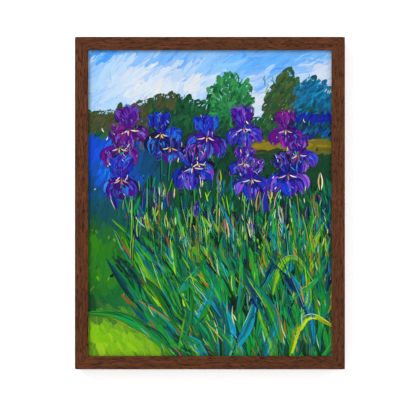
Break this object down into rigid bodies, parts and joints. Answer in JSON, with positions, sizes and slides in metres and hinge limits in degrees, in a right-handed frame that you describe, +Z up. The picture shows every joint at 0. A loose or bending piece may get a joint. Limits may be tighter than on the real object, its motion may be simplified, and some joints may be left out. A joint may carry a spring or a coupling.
{
  "type": "framed painting",
  "caption": "Portrait-format garden painting with thick brushwork on stretched canvas, held by clips in a flat dark-stained wooden frame, with swinging hanging rings at the back.",
  "frame": {"origin": "middle of the top rail's back face, which hangs against the wall", "axes": "+Z up along the picture's height, +Y out of the back towards the wall, so the picture faces -Y; +X to a viewer's right"},
  "size_m": [0.4384, 0.0325, 0.54],
  "materials": {
    "frame_wood": "dark brown stain with a thin satin lacquer, open grain",
    "bar_wood": "raw planed pine",
    "key_wood": "raw beech",
    "canvas_cloth": "plain-weave cotton duck, raw at the back and primed in front",
    "oil_paint": "thick dried paint in many colours, semi-gloss, brushed in relief",
    "clip_steel": "zinc-plated strip",
    "screw_steel": "zinc-plated",
    "nail_steel": "bare blued steel",
    "hanger_nickel": "nickel-plated",
    "bumper_rubber": "matt black"
  },
  "bodies": {
    "picture": {"frame_rail_top": "frame_wood", "frame_rail_bottom": "frame_wood", "frame_rail_left": "frame_wood", "frame_rail_right": "frame_wood", "frame_nail_top_left": "nail_steel", "frame_nail_top_right": "nail_steel", "frame_nail_bottom_left": "nail_steel", "frame_nail_bottom_right": "nail_steel", "stretcher_bar_top": "bar_wood", "stretcher_bar_bottom": "bar_wood", "stretcher_bar_left": "bar_wood", "stretcher_bar_right": "bar_wood", "stretcher_key_top_left_upright": "key_wood", "stretcher_key_top_left_level": "key_wood", "stretcher_key_top_right_upright": "key_wood", "stretcher_key_top_right_level": "key_wood", "stretcher_key_bottom_left_upright": "key_wood", "stretcher_key_bottom_left_level": "key_wood", "stretcher_key_bottom_right_upright": "key_wood", "stretcher_key_bottom_right_level": "key_wood", "canvas": "canvas_cloth", "paint_layer": "oil_paint", "clip_top_1": "clip_steel", "clip_screw_top_1": "screw_steel", "clip_top_2": "clip_steel", "clip_screw_top_2": "screw_steel", "clip_bottom_1": "clip_steel", "clip_screw_bottom_1": "screw_steel", "clip_bottom_2": "clip_steel", "clip_screw_bottom_2": "screw_steel", "clip_left_1": "clip_steel", "clip_screw_left_1": "screw_steel", "clip_left_2": "clip_steel", "clip_screw_left_2": "screw_steel", "clip_right_1": "clip_steel", "clip_screw_right_1": "screw_steel", "clip_right_2": "clip_steel", "clip_screw_right_2": "screw_steel", "hanger_strap_left": "hanger_nickel", "hanger_screw_left_1": "screw_steel", "hanger_screw_left_2": "screw_steel", "wall_bumper_left": "bumper_rubber", "hanger_strap_right": "hanger_nickel", "hanger_screw_right_1": "screw_steel", "hanger_screw_right_2": "screw_steel", "wall_bumper_right": "bumper_rubber"},
    "ring_left": {"hanging_ring_left": "hanger_nickel"},
    "ring_right": {"hanging_ring_right": "hanger_nickel"}
  },
  "joints": [
    {"name": "ring_left_swing", "type": "hinge", "parent": "picture", "child": "ring_left", "pos_m": [-0.2112, 0.0024, -0.12775], "axis": [1, 0, 0], "range_deg": [0, 180]},
    {"name": "ring_right_swing", "type": "hinge", "parent": "picture", "child": "ring_right", "pos_m": [0.2112, 0.0024, -0.12775], "axis": [1, 0, 0], "range_deg": [0, 180]}
  ]
}
